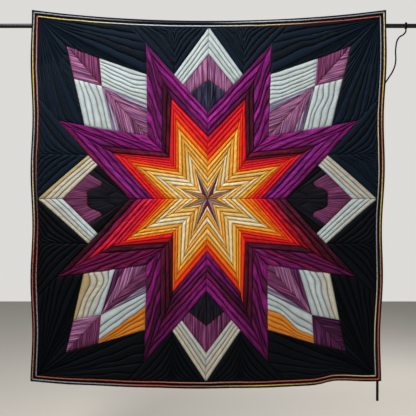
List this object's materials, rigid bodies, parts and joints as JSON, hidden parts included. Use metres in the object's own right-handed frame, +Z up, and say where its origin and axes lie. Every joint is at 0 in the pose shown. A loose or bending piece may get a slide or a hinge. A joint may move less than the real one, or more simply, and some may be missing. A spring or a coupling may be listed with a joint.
{
  "type": "star quilt on a hanging rod",
  "caption": "Pieced star quilt with raised quilting, bound edges and sewn-on twisted cords, hanging in front of a thin straight rod, with a weighted cord beside it.",
  "frame": {"origin": "middle of the rod's axis", "axes": "+Z up, +X along the rod to the right of a viewer who faces the quilt, the quilt's front faces -Y"},
  "size_m": [1.93, 0.0467, 1.6853],
  "materials": {
    "patchwork": "quilted",
    "binding": "matte",
    "outer_cord": "twisted",
    "inner_cord": "twisted",
    "rod": "satin",
    "black_cord": "matte",
    "cord_weight": "satin"
  },
  "bodies": {
    "root": {"quilt": "patchwork", "binding_top": "binding", "binding_right": "binding", "binding_bottom": "binding", "binding_left": "binding", "outer_cord_top": "outer_cord", "outer_cord_right": "outer_cord", "outer_cord_bottom": "outer_cord", "outer_cord_left": "outer_cord", "inner_cord_top": "inner_cord", "inner_cord_right": "inner_cord", "inner_cord_bottom": "inner_cord", "inner_cord_left": "inner_cord", "rod": "rod", "pull_cord": "black_cord", "cord_loop": "black_cord", "cord_weight": "cord_weight"}
  },
  "joints": []
}
